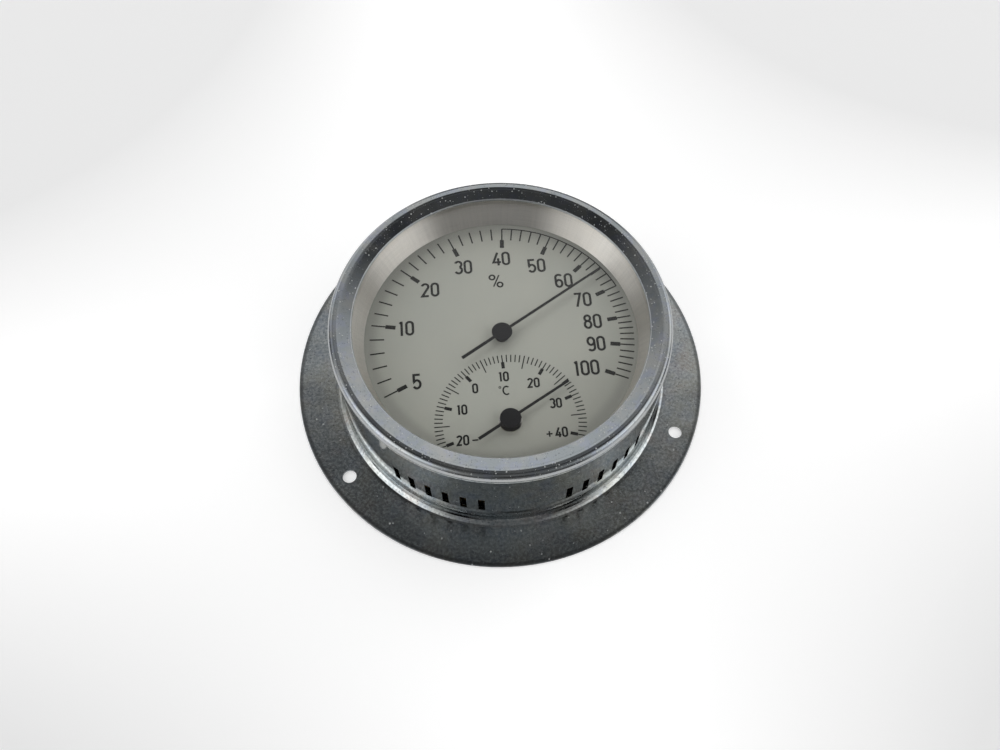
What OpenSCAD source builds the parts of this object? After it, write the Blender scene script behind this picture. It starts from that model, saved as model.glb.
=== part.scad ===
// Dial thermo-hygrometer in a drawn steel case for wall mounting.
// It lies on its back: the flange rests on z = 0, +Z points out of the dial,
// and +Y points to the flange hole at twelve o'clock. Millimetres and degrees.

/* [Case] */
// Outer diameter of the case wall
case_d = 102.8; // [98:0.2:110]
// Width of the wall flange outside the wall
flange_w = 14.6; // [12:0.1:18]
// Height of the case rim above the back of the flange
case_h = 32.3; // [31.8:0.1:34]
// Thickness of the drawn sheet
sheet_t = 0.9; // [0.7:0.1:1.1]
// Radius of the fillet where the wall meets the flange
root_r = 2.6; // [1:0.1:3]
// Distance from the flange's edge to the middle of a fixing hole
hole_edge = 6; // [4.5:0.1:7]
// Diameter of a fixing hole
hole_d = 4.3; // [3.5:0.1:5.5]

/* [Vent slots] */
// Number of slot groups round the wall
slot_groups = 6; // [4:1:6]
// Number of slots in one group
slots_in_group = 6; // [3:1:7]
// Angle from one slot to the next in a group
slot_pitch = 6.1; // [5:0.1:7]
// Width of a slot
slot_w = 2; // [1.4:0.1:2.6]
// Length of a slot up the wall
slot_h = 8.2; // [6:0.1:9]
// Height of the lower end of the slots
slot_z = 9.3; // [9:0.1:11]

/* [Bezel and window] */
// Width of the bezel from the wall's outside in to the lip
lip_w = 6.9; // [6:0.1:7.4]
// Distance from the wall's outside in to where the bezel's crest begins
crest_in = 3.3; // [2.8:0.1:3.8]
// Height of the crest above the case rim
crest_h = 2.7; // [2.6:0.1:3.2]
// Drop from the crest to the top of the lip
lip_drop = 0.95; // [0.6:0.05:1.2]
// How far the rolled edge stands out past the wall
bezel_over = 0.1; // [0:0.05:0.6]
// Radius of the bezel's round shoulder
shoulder_r = 1.8; // [1.2:0.1:1.9]
// Radius of the rolled edge
nose_r = 0.6; // [0.4:0.05:0.7]
// Thickness of the bezel metal
bezel_t = 0.8; // [0.6:0.05:1]
// Thickness of the window glass
glass_t = 2; // [1.5:0.1:2.5]
// Thickness of the rubber gasket
gasket_t = 0.5; // [0.4:0.05:0.8]

/* [Dial and ring] */
// Height of the dial face
dial_z = 22.6; // [22.3:0.1:24]
// Thickness of the dial plate
dial_t = 0.8; // [0.6:0.1:1.2]
// Width of the conical ring where it stands on the dial
ring_low_w = 7.4; // [6.6:0.1:8.4]
// Width of the conical ring under the window
ring_top_w = 2.4; // [2:0.1:3.4]
// Thickness of the ring's metal, measured level
ring_t = 0.8; // [0.6:0.1:1]
// How far the dial and its movement sit turned in the case
dial_turn = -3; // [-6:0.5:6]

/* [Pointers] */
// Direction of the humidity pointer on the dial, for about 65 percent
hygro_angle = 32; // [20:0.1:60]
// Gap between the humidity pointer's tip and the conical ring
tip_gap = 2.9; // [1.5:0.1:8]
// Reach of the humidity pointer's tail
hygro_tail = 15; // [8:0.1:18]
// Height of the humidity pointer above the dial
hygro_lift = 2.85; // [2.8:0.05:3.4]
// Direction of the temperature pointer on the dial, for about 27 degrees
thermo_angle = 30.3; // [20:0.1:60]
// Reach of the temperature pointer's tip
thermo_tip = 21.4; // [16:0.1:22]
// Reach of the temperature pointer's tail
thermo_tail = 11.3; // [7:0.1:13]
// Height of the temperature pointer above the dial
thermo_lift = 2.15; // [1.9:0.05:2.2]
// Thickness of the pointer blades
blade_t = 0.2; // [0.15:0.05:0.3]
// Diameter of the black hub caps
cap_d = 6.3; // [5.4:0.1:7]
// Diameter of the bosses under the blades
boss_d = 4.2; // [3.4:0.1:5]

/* [Movement plates] */
// Depth of the rear cover's floor inside the flange
pan_z = 2; // [1.6:0.1:2.2]
// Thickness of the rear cover's sheet
pan_t = 0.8; // [0.6:0.1:1]
// Height of the rear cover's rim
pan_rim_h = 4.5; // [3.5:0.1:4.8]
// Height of the carrier plate
carrier_z = 7.4; // [7:0.1:7.6]
// Thickness of the carrier plate
carrier_t = 1.2; // [1:0.1:1.4]
// Thickness of the front bridge
bridge_t = 1.2; // [1:0.1:1.5]
// Clear height between the carrier plate and the bridge
plate_gap = 8.4; // [8.2:0.1:9]
// Width of the bridge bars
bridge_w = 8; // [7:0.5:10]
// Distance from the dial's edge to the pillars of the carrier plate
base_pillar_in = 11.6; // [10:0.1:13]
// Distance from the dial's edge to the pillars under the dial
dial_pillar_in = 6; // [5.2:0.1:6.4]
// Least width of plate outside an air hole
window_rim = 4; // [3:0.5:7]

/* [Gears] */
// Distance from the sector's axis to the dial's edge
sector_in = 13.6; // [12.6:0.1:15]
// Teeth on the pinion
pinion_teeth = 12; // [12:1:14]
// Teeth of the whole wheel that the sector is cut from
sector_teeth = 132; // [120:2:134]
// Play between the teeth
backlash = 0.12; // [0.08:0.01:0.2]
// Direction from the pinion to the sector's axis
sector_dir = 160; // [155:1:165]
// Turn of the sector from rest to its dry end
sector_dry = 15.79; // [12:0.1:17]
// Turn of the sector from rest to its damp end
sector_damp = 5.25; // [4:0.1:8]
// Length of the lever arm that the hair pulls
lever_arm = 4.3; // [3.8:0.1:5.2]

/* [Arbors] */
// Radius of the humidity arbor
arbor_r = 0.75; // [0.6:0.05:0.9]
// Radius of the sector's arbor
sector_arbor_r = 1; // [0.8:0.05:1.2]
// Radius of the thermometer's arbor
thermo_arbor_r = 0.7; // [0.6:0.05:0.85]
// Running clearance of an arbor in its bearing
run_gap = 0.05; // [0.02:0.01:0.08]

/* [Hair and adjuster] */
// Distance from the hair's anchor to the dial's edge
anchor_in = 12.6; // [11.6:0.1:15]
// Throw of the eccentric anchor pin
anchor_throw = 2.5; // [2:0.1:3]
// Width of the hair ribbon
hair_w = 2.2; // [1.6:0.1:2.4]
// Thickness of the hair ribbon
hair_t = 0.8; // [0.5:0.1:1]
// Radius of the adjuster's spindle
spindle_r = 1.5; // [1.2:0.1:1.8]

/* [Springs] */
// Turns of the hairspring
hairspring_turns = 5; // [3:1:6]
// Outer radius of the hairspring
hairspring_r = 6.6; // [6:0.1:7]
// Turns of the bimetal spiral
bimetal_turns = 7; // [5:1:8]
// Outer radius of the bimetal spiral
bimetal_r = 13.2; // [11:0.1:13.6]
// Thickness of the bimetal strip
bimetal_t = 0.4; // [0.3:0.05:0.6]
// Height of the bimetal strip
bimetal_h = 3; // [2:0.1:4]

/* [Thermometer] */
// Distance from the thermometer's axis to the dial's edge
thermo_in = 20.8; // [19.8:0.1:22]
// Radius of the bushing's collar on the dial
collar_r = 3.5; // [3.2:0.1:4]
// Height of the bushing's collar
collar_h = 0.6; // [0.3:0.1:0.7]

/* [Hidden] */
// Fineness of large round parts
big_fn = 144;
// Fineness of small round parts
small_fn = 48;
// Clearance of pieces that are pushed together
fit_gap = 0.02;
// Clearance of large pieces that drop into each other
slip_gap = 0.05;
// Clear height between pieces that pass each other
pass_gap = 0.4;

// Case
case_r = case_d / 2;
case_in_r = case_r - sheet_t;
rim_round = sheet_t / 2;
flange_r = case_r + flange_w;
flange_round = sheet_t / 3;
hole_first = 90;

// Bezel and the stack it holds
skirt_r = case_in_r - slip_gap;
stack_r = skirt_r - bezel_t - slip_gap;
lip_r = case_r - lip_w;
crest_r = case_r - crest_in;
crest_z = case_h + crest_h;
lip_top_z = crest_z - lip_drop;
lip_z = lip_top_z - bezel_t;
glass_top_z = lip_z - gasket_t;
glass_z = glass_top_z - glass_t;
dial_low_z = dial_z - dial_t;
skirt_end_z = dial_low_z - 1;

// Conical ring
ring_low_r = stack_r - ring_low_w;
ring_top_r = stack_r - ring_top_w;

// Movement heights, from the rear cover up
pan_top_z = pan_z + pan_t;
carrier_top_z = carrier_z + carrier_t;
bridge_z = carrier_top_z + plate_gap;
bridge_top_z = bridge_z + bridge_t;
arbor_end = 0.5;
sector_t = 1;
sector_z = carrier_top_z + 2.8;
pinion_l = 3;
pinion_z = sector_z - (pinion_l - sector_t) / 2;
lever_z = sector_z + sector_t + 0.8;
lever_t = 0.8;
hair_z = lever_z + lever_t + 1.4;
eye_h = 1;
pin_top_z = hair_z + eye_h / 2 + 0.4;

// Gear train
axis_gap = stack_r - sector_in;
tooth_m = 2 * axis_gap / (pinion_teeth + sector_teeth);
pinion_pitch_r = tooth_m * pinion_teeth / 2;
sector_pitch_r = tooth_m * sector_teeth / 2;
sector_pos = axis_gap * [cos(sector_dir), sin(sector_dir)];
pinion_add = 0.95 * tooth_m;
sector_add = 0.68 * tooth_m;
tooth_ded = 1.2 * tooth_m;
pitch_angle = 360 / sector_teeth;
spare_teeth = 2;
teeth_damp = ceil(sector_damp / pitch_angle) + spare_teeth;
teeth_dry = ceil(sector_dry / pitch_angle) + spare_teeth;

// Hair line, lever pin and adjuster
lever_pin_r = 0.5;
anchor_pin_r = 0.6;
lever_pin_pos = sector_pos + [0, lever_arm];
anchor_pin_pos = [stack_r - anchor_in, lever_pin_pos[1]];
spindle_pos = anchor_pin_pos - [0, anchor_throw];
eye_wall = 0.65;
ferrule_l = 4.5;
barrel_h = hair_w + 0.2;
crank_r = anchor_throw + anchor_pin_r + 1.1;
crank_t = 1.2;
crank_z = hair_z - barrel_h / 2 - 0.3 - crank_t;
spindle_head_r = 2 * spindle_r;
spindle_collar_r = 1.75 * spindle_r;
washer_t = 0.5;

// Thermometer
thermo_pos = [0, thermo_in - stack_r];
bush_r = 2.5;
bracket_rim = 2.5;
bracket_t = 0.8;
nut_h = 1.8;
nut_r = 4.4;
bracket_z = dial_low_z - bracket_t;
bush_z = bracket_z - nut_h - 1.2;
bimetal_z = carrier_top_z + 3.4;
thermo_collet_r = 1.6;
thermo_collet_z = bimetal_z - 0.3;
leg_in = bimetal_r + bimetal_t / 2 + fit_gap;
leg_w = 5;

// Hairspring
hairspring_t = 0.2;
hairspring_h = 0.8;
collet_r = 1.8;
collet_h = 1.6;
collet_z = pinion_z + pinion_l + 1;
hairspring_z = collet_z + (collet_h - hairspring_h) / 2;
stud_r = 0.5;
stud_dir = sector_dir - 90;
stud_at = hairspring_r + hairspring_t / 2 + stud_r + fit_gap;

// Pillars and screws
carrier_r = stack_r - 0.8;
base_pillar_r = stack_r - base_pillar_in;
base_pillar_dirs = [90, 210, 330];
base_screw_r = 1.45;
base_pillar_w = 2.6;
dial_pillar_r = stack_r - dial_pillar_in;
dial_pillar_dirs = [40, 195, 300];
dial_pillar_w = 2.4;
bridge_pillar_w = 2;
bridge_screw_r = 1;
bridge_tail = 8;
bridge_arm = 13;
bridge_a = sector_pos + bridge_tail * [cos(sector_dir), sin(sector_dir)];
bridge_b = bridge_arm * [cos(sector_dir + 180), sin(sector_dir + 180)];
bridge_c = bridge_arm * [cos(stud_dir), sin(stud_dir)];
bridge_posts = [bridge_a, bridge_b, bridge_c];
head_h = 1.1;
slot_cut = 0.5;

// Pointers
cap_r = cap_d / 2;
boss_r = boss_d / 2;
cap_h = 0.4;
cap_edge = 0.12;
boss_gap = 0.3;
hygro_blade_z = dial_z + hygro_lift;
thermo_blade_z = dial_z + thermo_lift;
blade_eye_r = boss_r + 0.3;
hygro_tip = ring_low_r - tip_gap;

// Points along an arc of radius r round [x, y], from angle a to angle b
function arc(x, y, r, a, b, n) = [
  for (i = [0:n])
    let (t = a + (b - a) * i / n)
    [x + r * cos(t), y + r * sin(t)]
];

// Roll angle of an involute at radius r from its base circle
function involute_angle(r, base) =
  r <= base ? 0 : sqrt(r * r / (base * base) - 1) * 180 / PI - acos(base / r);

// One involute tooth as points from its left root to its right root
function tooth(m, teeth, add, ded, play, mid) =
  let (
    pitch = m * teeth / 2,
    base = pitch * cos(20),
    root = pitch - ded,
    tip = pitch + add,
    low = max(base, root),
    half = (PI * m / 2 - play) / pitch * 90 / PI + involute_angle(pitch, base),
    steps = 4,
    flank = [for (i = [0:steps]) low + (tip - low) * i / steps],
    rise = root < base ? concat([root], flank) : flank,
    left = [for (r = rise) let (a = mid - half + involute_angle(r, base)) r * [cos(a), sin(a)]],
    right = [for (r = rise) let (a = mid + half - involute_angle(r, base)) r * [cos(a), sin(a)]]
  )
  concat(left, [for (i = [len(rise) - 1:-1:0]) right[i]]);

// Outline of a flat strip wound into a spiral from radius a to radius b, ending at angle last
function spiral(a, b, turns, thick, last) =
  let (
    n = 28 * turns,
    ang = [for (i = [0:n]) last - 360 * turns * (1 - i / n)],
    rad = [for (i = [0:n]) a + (b - a) * i / n]
  )
  concat(
    [for (i = [0:n]) (rad[i] + thick / 2) * [cos(ang[i]), sin(ang[i])]],
    [for (i = [n:-1:0]) (rad[i] - thick / 2) * [cos(ang[i]), sin(ang[i])]]
  );

// Places its children on the dial, which sits a little turned in the case
module on_dial(p = [0, 0], z = 0) {
  rotate([0, 0, dial_turn])
    translate([p[0], p[1], z])
      children();
}

// A tube or, with no bore, a plain cylinder
module turned(r, h, bore = 0, fn = small_fn) {
  difference() {
    cylinder(r = r, h = h, $fn = fn);
    if (bore > 0)
      translate([0, 0, -1])
        cylinder(r = bore, h = h + 2, $fn = fn);
  }
}

// A slotted cheese-head screw standing on its head's seat, with its shank downwards
module screw(head_r, shank_r, shank_l) {
  difference() {
    cylinder(r = head_r, h = head_h, $fn = small_fn);
    translate([-head_r - 1, -slot_cut / 2, head_h - slot_cut])
      cube([2 * head_r + 2, slot_cut, slot_cut + 1]);
  }
  translate([0, 0, -shank_l])
    cylinder(r = shank_r, h = shank_l, $fn = small_fn);
}

// A flat bar with round ends from p to q
module bar(p, q, w, h) {
  along = q - p;
  translate([p[0], p[1], 0])
    rotate([0, 0, atan2(along[1], along[0])]) {
      translate([0, -w / 2, 0])
        cube([norm(along), w, h]);
      cylinder(d = w, h = h, $fn = small_fn);
      translate([norm(along), 0, 0])
        cylinder(d = w, h = h, $fn = small_fn);
    }
}

// Drawn shell: flat flange, root fillet, straight wall and rounded rim
module case_shell() {
  fillet_x = case_r + root_r;
  fillet_z = sheet_t + root_r;
  outline = concat(
    arc(flange_r - flange_round, flange_round, flange_round, 270, 360, 3),
    arc(flange_r - flange_round, sheet_t - flange_round, flange_round, 0, 90, 3),
    arc(fillet_x, fillet_z, root_r, 270, 180, 6),
    arc(case_r - rim_round, case_h - rim_round, rim_round, 0, 90, 4),
    [[case_in_r, case_h]],
    arc(fillet_x, fillet_z, root_r + sheet_t, 180, 270, 8)
  );
  color("slategray")
    difference() {
      rotate_extrude($fn = big_fn)
        polygon(outline);
      for (i = [0:2])
        rotate([0, 0, hole_first + 120 * i])
          translate([flange_r - hole_edge, 0, -1])
            cylinder(d = hole_d, h = sheet_t + 2, $fn = small_fn);
      for (g = [0:slot_groups - 1], s = [0:slots_in_group - 1])
        rotate([0, 0, 360 / slot_groups * g + slot_pitch * (s - (slots_in_group - 1) / 2)])
          translate([case_in_r - 1, -slot_w / 2, slot_z])
            cube([sheet_t + 2, slot_w, slot_h]);
    }
}

// Pressed rear cover, pushed into the back of the case with its rim forwards
module rear_cover() {
  rim_out = skirt_r;
  bend = 1.4;
  vent_ring_r = base_pillar_r - 14;
  top = pan_z + pan_rim_h;
  outline = concat(
    [[0, pan_z]],
    arc(rim_out - bend, pan_z + bend, bend, 270, 360, 5),
    [[rim_out, top], [rim_out - pan_t, top]],
    arc(rim_out - bend, pan_z + bend, bend - pan_t, 360, 270, 4),
    [[0, pan_top_z]]
  );
  color("dimgray")
    difference() {
      rotate_extrude($fn = big_fn)
        polygon(outline);
      for (a = base_pillar_dirs)
        on_dial(base_pillar_r * [cos(a), sin(a)])
          cylinder(r = base_screw_r + slip_gap, h = carrier_z, $fn = small_fn);
      on_dial(spindle_pos)
        cylinder(r = spindle_head_r + 0.3, h = carrier_z, $fn = small_fn);
      for (i = [0:11])
        rotate([0, 0, 30 * i])
          translate([vent_ring_r, 0, 0])
            cylinder(r = 1.8, h = carrier_z, $fn = small_fn);
    }
}

// Front ring with an inner lip, a flat crest, a round shoulder, a rolled edge and a long skirt
module bezel() {
  edge_r = case_r + bezel_over;
  lip_round = bezel_t / 2;
  outline = concat(
    arc(lip_r + lip_round, lip_z + lip_round, lip_round, 270, 100, 6),
    [[crest_r - 0.2, crest_z - 0.07], [crest_r + 0.1, crest_z - 0.02], [crest_r + 0.5, crest_z]],
    arc(edge_r - shoulder_r, crest_z - shoulder_r, shoulder_r, 90, 0, 12),
    arc(edge_r - nose_r, case_h + nose_r, nose_r, 0, -90, 6),
    [
      [skirt_r, case_h],
      [skirt_r, skirt_end_z],
      [skirt_r - bezel_t, skirt_end_z],
      [skirt_r - bezel_t, lip_z]
    ]
  );
  color("silver")
    rotate_extrude($fn = big_fn)
      polygon(outline);
}

// Flat rubber ring between the lip and the glass
module gasket() {
  color("black")
    translate([0, 0, glass_top_z])
      difference() {
        cylinder(r = stack_r, h = gasket_t, $fn = big_fn);
        translate([0, 0, -1])
          cylinder(r = lip_r + 0.8, h = gasket_t + 2, $fn = big_fn);
      }
}

// Plain window with a ground edge
module window_glass() {
  edge = 0.2;
  outline = [
    [0, 0], [stack_r - edge, 0], [stack_r, edge],
    [stack_r, glass_t - edge], [stack_r - edge, glass_t], [0, glass_t]
  ];
  color("lightcyan", 0.3)
    translate([0, 0, glass_z])
      rotate_extrude($fn = big_fn)
        polygon(outline);
}

// Conical ring of brushed aluminium that stands on the dial and carries the glass
module dial_ring() {
  toe = 0.35;
  outline = [
    [ring_low_r + toe, dial_z],
    [ring_low_r + ring_t + toe, dial_z],
    [ring_top_r + ring_t, glass_z - ring_t],
    [stack_r, glass_z - ring_t],
    [stack_r, glass_z],
    [ring_top_r, glass_z],
    [ring_low_r, dial_z + toe]
  ];
  color("gainsboro")
    rotate_extrude($fn = big_fn)
      polygon(outline);
}

// Flat aluminium dial with its two holes
module dial_plate() {
  color("darkseagreen")
    on_dial([0, 0], dial_low_z)
      difference() {
        cylinder(r = stack_r, h = dial_t, $fn = big_fn);
        translate([0, 0, -1])
          cylinder(r = arbor_r + 0.85, h = dial_t + 2, $fn = small_fn);
        translate([thermo_pos[0], thermo_pos[1], -1])
          cylinder(r = bush_r + slip_gap, h = dial_t + 2, $fn = small_fn);
      }
}

// Main plate of the movement, with bearings, screw holes and round windows
module carrier_plate() {
  windows = [[58, 9], [231, 8], [345, 6.5], [116, 7]];
  color("goldenrod")
    on_dial([0, 0], carrier_z)
      difference() {
        cylinder(r = carrier_r, h = carrier_t, $fn = big_fn);
        translate([0, 0, -1]) {
          cylinder(r = arbor_r + run_gap, h = carrier_t + 2, $fn = small_fn);
          translate(sector_pos)
            cylinder(r = sector_arbor_r + run_gap, h = carrier_t + 2, $fn = small_fn);
          translate(spindle_pos)
            cylinder(r = spindle_r + run_gap, h = carrier_t + 2, $fn = small_fn);
          for (a = base_pillar_dirs)
            translate(base_pillar_r * [cos(a), sin(a)])
              cylinder(r = base_screw_r + slip_gap, h = carrier_t + 2, $fn = small_fn);
          for (w = windows)
            rotate([0, 0, w[0]])
              translate([carrier_r - window_rim - w[1], 0, 0])
                cylinder(r = w[1], h = carrier_t + 2, $fn = small_fn);
        }
      }
}

// Tapped pillars that hold the carrier plate off the rear cover
module base_pillars() {
  color("goldenrod")
    for (a = base_pillar_dirs)
      on_dial(base_pillar_r * [cos(a), sin(a)], pan_top_z)
        turned(base_pillar_w, carrier_z - pan_top_z, base_screw_r + fit_gap);
}

// Screws through the rear cover into the pillars
module base_screws() {
  color("silver")
    for (a = base_pillar_dirs)
      on_dial(base_pillar_r * [cos(a), sin(a)], pan_z)
        mirror([0, 0, 1])
          screw(base_pillar_w, base_screw_r, pan_t + (carrier_z - pan_top_z) * 0.45);
}

// Screws through the carrier plate into the same pillars
module carrier_screws() {
  color("silver")
    for (a = base_pillar_dirs)
      on_dial(base_pillar_r * [cos(a), sin(a)], carrier_top_z)
        screw(base_pillar_w, base_screw_r, carrier_t + (carrier_z - pan_top_z) * 0.45);
}

// Posts between the carrier plate and the dial
module dial_pillars() {
  waist = dial_pillar_w - 0.6;
  length = dial_low_z - carrier_top_z;
  foot = 2;
  outline = [
    [0, 0], [dial_pillar_w, 0], [dial_pillar_w, foot], [waist, foot + 0.6],
    [waist, length - foot - 0.6], [dial_pillar_w, length - foot],
    [dial_pillar_w, length], [0, length]
  ];
  color("goldenrod")
    for (a = dial_pillar_dirs)
      on_dial(dial_pillar_r * [cos(a), sin(a)], carrier_top_z)
        rotate_extrude($fn = small_fn)
          polygon(outline);
}

// Three-armed bridge that carries the upper bearings
module front_bridge() {
  color("goldenrod")
    on_dial([0, 0], bridge_z)
      difference() {
        union() {
          bar(bridge_a, bridge_b, bridge_w, bridge_t);
          bar([0, 0], bridge_c, bridge_w, bridge_t);
        }
        translate([0, 0, -1]) {
          cylinder(r = arbor_r + run_gap, h = bridge_t + 2, $fn = small_fn);
          translate(sector_pos)
            cylinder(r = sector_arbor_r + run_gap, h = bridge_t + 2, $fn = small_fn);
          for (p = bridge_posts)
            translate(p)
              cylinder(r = bridge_screw_r + slip_gap, h = bridge_t + 2, $fn = small_fn);
        }
      }
}

// Pillars under the three ends of the bridge
module bridge_pillars() {
  color("goldenrod")
    for (p = bridge_posts)
      on_dial(p, carrier_top_z)
        turned(bridge_pillar_w, plate_gap, bridge_screw_r + fit_gap);
}

// Screws that hold the bridge on its pillars
module bridge_screws() {
  color("silver")
    for (p = bridge_posts)
      on_dial(p, bridge_top_z)
        screw(bridge_pillar_w, bridge_screw_r, bridge_t + plate_gap * 0.5);
}

// Stud under the bridge that holds the hairspring's outer end
module hairspring_stud() {
  low = hairspring_z - 0.3;
  color("silver")
    on_dial(stud_at * [cos(stud_dir), sin(stud_dir)], low)
      cylinder(r = stud_r, h = bridge_z - low, $fn = small_fn);
}

// Flat spiral that takes up the play of the teeth
module hairspring() {
  start = collet_r + hairspring_t / 2 + fit_gap;
  color("steelblue")
    on_dial([0, 0], hairspring_z)
      linear_extrude(hairspring_h)
        polygon(spiral(start, hairspring_r, hairspring_turns, hairspring_t, stud_dir));
}

// Ribbon of hairs between its two ferrules
module hair_bundle() {
  x0 = lever_pin_pos[0] + ferrule_l;
  x1 = anchor_pin_pos[0] - ferrule_l;
  color("wheat")
    on_dial([x0, lever_pin_pos[1] - hair_t / 2], hair_z - hair_w / 2)
      cube([x1 - x0, hair_t, hair_w]);
}

// One eye and barrel, drawn along +X from the middle of its pin
module ferrule(pin) {
  bore = pin + run_gap;
  difference() {
    union() {
      translate([0, 0, -eye_h / 2])
        cylinder(r = bore + eye_wall, h = eye_h, $fn = small_fn);
      translate([0, -hair_t / 2, -eye_h / 2])
        cube([ferrule_l, hair_t, eye_h]);
      translate([ferrule_l - 2.4, -hair_t / 2 - 0.2, -barrel_h / 2])
        cube([2.4, hair_t + 0.4, barrel_h]);
    }
    translate([0, 0, -eye_h])
      cylinder(r = bore, h = 2 * eye_h, $fn = small_fn);
  }
}

// Crimped ends of the hair, one on the lever pin and one on the anchor pin
module hair_ferrules() {
  color("gold") {
    on_dial(lever_pin_pos, hair_z)
      ferrule(lever_pin_r);
    on_dial(anchor_pin_pos, hair_z)
      mirror([1, 0, 0])
        ferrule(anchor_pin_r);
  }
}

// Flanged bushing through the dial that carries the thermometer's arbor
module thermo_bushing() {
  color("silver")
    on_dial(thermo_pos)
      difference() {
        union() {
          translate([0, 0, bush_z])
            cylinder(r = bush_r, h = dial_z - bush_z, $fn = small_fn);
          translate([0, 0, dial_z])
            cylinder(r = collar_r, h = collar_h, $fn = small_fn);
        }
        translate([0, 0, bush_z - 1])
          cylinder(r = thermo_arbor_r + run_gap, h = dial_z + collar_h - bush_z + 2, $fn = small_fn);
      }
}

// Hexagon nut that clamps the bushing and the bracket to the dial
module thermo_nut() {
  color("silver")
    on_dial(thermo_pos, bracket_z - nut_h)
      difference() {
        cylinder(r = nut_r, h = nut_h, $fn = 6);
        translate([0, 0, -1])
          cylinder(r = bush_r + fit_gap, h = nut_h + 2, $fn = small_fn);
      }
}

// Bent bracket under the dial whose leg holds the bimetal's outer end
module bimetal_bracket() {
  reach = leg_in + bracket_t;
  color("goldenrod")
    on_dial(thermo_pos) {
      translate([0, 0, bracket_z])
        difference() {
          union() {
            cylinder(r = bush_r + bracket_rim, h = bracket_t, $fn = small_fn);
            translate([-leg_w / 2, -reach, 0])
              cube([leg_w, reach, bracket_t]);
          }
          translate([0, 0, -1])
            cylinder(r = bush_r + slip_gap, h = bracket_t + 2, $fn = small_fn);
        }
      translate([-leg_w / 2, -reach, bimetal_z - 0.4])
        cube([leg_w, bracket_t, bracket_z + bracket_t - bimetal_z + 0.4]);
    }
}

// Bimetal strip wound into a flat spiral
module bimetal_spiral() {
  start = thermo_collet_r + bimetal_t / 2 + fit_gap;
  color("peru")
    on_dial(thermo_pos, bimetal_z)
      linear_extrude(bimetal_h)
        polygon(spiral(start, bimetal_r, bimetal_turns, bimetal_t, 270));
}

// Pin that the sector turns on, in both plates
module sector_arbor() {
  low = carrier_z - arbor_end;
  color("lightsteelblue")
    on_dial(sector_pos, low)
      cylinder(r = sector_arbor_r, h = bridge_top_z + arbor_end - low, $fn = small_fn);
}

// Toothed sector with an open window between its two spokes
module sector_gear() {
  first = -teeth_damp;
  last = teeth_dry;
  side = pitch_angle / 2;
  rim_in = sector_pitch_r - tooth_ded - 2.4;
  root = sector_pitch_r - tooth_ded;
  a0 = first * pitch_angle - side;
  a1 = last * pitch_angle + side;
  teeth = [
    for (k = [first:last])
      each tooth(tooth_m, sector_teeth, sector_add, tooth_ded, backlash, k * pitch_angle)
  ];
  edge = concat([root * [cos(a0), sin(a0)]], teeth, [root * [cos(a1), sin(a1)]]);
  spoke = 5;
  window = concat(arc(0, 0, rim_in, a0 + spoke, a1 - spoke, 12), arc(0, 0, 8, a1 - spoke, a0 + spoke, 3));
  color("goldenrod")
    on_dial(sector_pos, sector_z)
      rotate([0, 0, sector_dir + 180])
        difference() {
          union() {
            linear_extrude(sector_t)
              polygon(concat([[0, 0]], edge));
            cylinder(r = 4, h = sector_t, $fn = small_fn);
          }
          translate([0, 0, -1])
            linear_extrude(sector_t + 2)
              polygon(window);
          translate([0, 0, -1])
            cylinder(r = sector_arbor_r + fit_gap, h = sector_t + 2, $fn = small_fn);
        }
}

// Short arm on the sector's arbor that the hair pulls
module hair_lever() {
  color("silver")
    on_dial(sector_pos, lever_z)
      difference() {
        union() {
          cylinder(r = sector_arbor_r + 1.4, h = lever_t, $fn = small_fn);
          bar([0, 0], [0, lever_arm], 2 * lever_pin_r + 1, lever_t);
        }
        translate([0, 0, -1])
          cylinder(r = sector_arbor_r + fit_gap, h = lever_t + 2, $fn = small_fn);
      }
}

// Pin riveted in the end of the lever
module lever_pin() {
  low = lever_z + lever_t;
  color("lightsteelblue")
    on_dial(lever_pin_pos, low)
      cylinder(r = lever_pin_r, h = pin_top_z - low, $fn = small_fn);
}

// Pointer arbor, from below the carrier plate up into the hub cap
module hygro_arbor() {
  low = carrier_z - arbor_end;
  top = hygro_blade_z + blade_t + cap_h * 0.6;
  color("lightsteelblue")
    on_dial([0, 0], low)
      cylinder(r = arbor_r, h = top - low, $fn = small_fn);
}

// Pinion with a gap between two teeth facing the sector
module pinion() {
  pitch = 360 / pinion_teeth;
  teeth = [
    for (k = [0:pinion_teeth - 1])
      each tooth(tooth_m, pinion_teeth, pinion_add, tooth_ded, backlash, (k + 0.5) * pitch)
  ];
  color("lightsteelblue")
    on_dial([0, 0], pinion_z)
      rotate([0, 0, sector_dir])
        difference() {
          linear_extrude(pinion_l)
            polygon(teeth);
          translate([0, 0, -1])
            cylinder(r = arbor_r + fit_gap, h = pinion_l + 2, $fn = small_fn);
        }
}

// Collet that holds the hairspring's inner end
module hairspring_collet() {
  color("gold")
    on_dial([0, 0], collet_z)
      turned(collet_r, collet_h, arbor_r + fit_gap);
}

// Boss under the humidity pointer
module hygro_boss() {
  low = dial_z + boss_gap;
  color("black")
    on_dial([0, 0], low)
      turned(boss_r, hygro_blade_z - low, arbor_r + fit_gap);
}

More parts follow.
